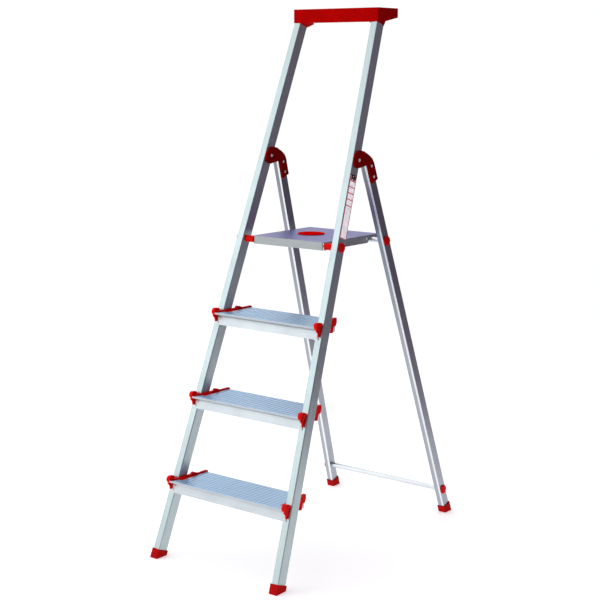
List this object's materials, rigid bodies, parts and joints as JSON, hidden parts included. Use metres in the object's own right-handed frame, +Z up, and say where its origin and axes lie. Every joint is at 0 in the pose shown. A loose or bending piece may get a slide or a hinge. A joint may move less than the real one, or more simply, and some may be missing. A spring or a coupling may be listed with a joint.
{
  "type": "platform step ladder",
  "caption": "Folding aluminium step ladder with ribbed treads, a lifting platform, a top tool tray and a rear frame on moulded hinge shells.",
  "frame": {"origin": "on the floor, midway between the front and rear feet and between the left and right feet", "axes": "+Z up, +Y from the treads towards the rear legs, +X to the right of a person who faces the treads"},
  "size_m": [0.468, 0.8972, 1.562],
  "materials": {
    "tube_aluminium": "satin anodised",
    "tread_aluminium": "ribbed satin",
    "platform_aluminium": "smooth satin",
    "bar_aluminium": "satin",
    "red_plastic": "moulded",
    "hinge_plastic": "moulded",
    "tray_plastic": "moulded",
    "foot_plastic": "moulded",
    "dark_plastic": "moulded",
    "nylon": "moulded",
    "rivet_steel": "satin",
    "label_film": "printed film"
  },
  "bodies": {
    "front_frame": {"front_foot_left": "foot_plastic", "front_foot_right": "foot_plastic", "front_rail_left": "tube_aluminium", "front_rail_right": "tube_aluminium", "guidance_label": "label_film", "hinge_pin_left": "rivet_steel", "hinge_pin_right": "rivet_steel", "hinge_washers_left": "nylon", "hinge_washers_right": "nylon", "platform_pivot_left": "rivet_steel", "platform_pivot_right": "rivet_steel", "platform_spacer_left": "red_plastic", "platform_spacer_right": "red_plastic", "rail_plug_left": "red_plastic", "rail_plug_right": "red_plastic", "tool_tray": "tray_plastic", "tray_screws": "rivet_steel", "tread_1": "tread_aluminium", "tread_2": "tread_aluminium", "tread_3": "tread_aluminium", "tread_cap_1_left": "red_plastic", "tread_cap_1_right": "red_plastic", "tread_cap_2_left": "red_plastic", "tread_cap_2_right": "red_plastic", "tread_cap_3_left": "red_plastic", "tread_cap_3_right": "red_plastic", "tread_rivets": "rivet_steel"},
    "rear_frame": {"hinge_shell_left": "hinge_plastic", "hinge_shell_right": "hinge_plastic", "hinge_strap_left": "bar_aluminium", "hinge_strap_right": "bar_aluminium", "leg_rivets_left": "rivet_steel", "leg_rivets_right": "rivet_steel", "lower_bar_plug_left": "red_plastic", "lower_bar_plug_right": "red_plastic", "lower_crossbar": "bar_aluminium", "rear_foot_left": "foot_plastic", "rear_foot_right": "foot_plastic", "rear_leg_left": "tube_aluminium", "rear_leg_right": "tube_aluminium", "upper_bar_plug_left": "red_plastic", "upper_bar_plug_right": "red_plastic", "upper_crossbar": "bar_aluminium"},
    "platform": {"hook_saddle_left": "dark_plastic", "hook_saddle_right": "dark_plastic", "platform_disc": "red_plastic", "platform_pan": "platform_aluminium", "platform_stiffener_1": "platform_aluminium", "platform_stiffener_2": "platform_aluminium", "saddle_rivets": "rivet_steel"}
  },
  "joints": [
    {"name": "rear_frame_fold", "type": "hinge", "parent": "front_frame", "child": "rear_frame", "pos_m": [0, -0.00404, 1.136], "axis": [-1, 0, 0], "range_deg": [0, 38]},
    {"name": "platform_lift", "type": "hinge", "parent": "front_frame", "child": "platform", "pos_m": [0, -0.09548, 0.8975], "axis": [1, 0, 0], "range_deg": [0, 68.5]}
  ],
  "couplings": [
    {"joint": "platform_lift", "follows": "rear_frame_fold", "ratio": 1.8}
  ]
}
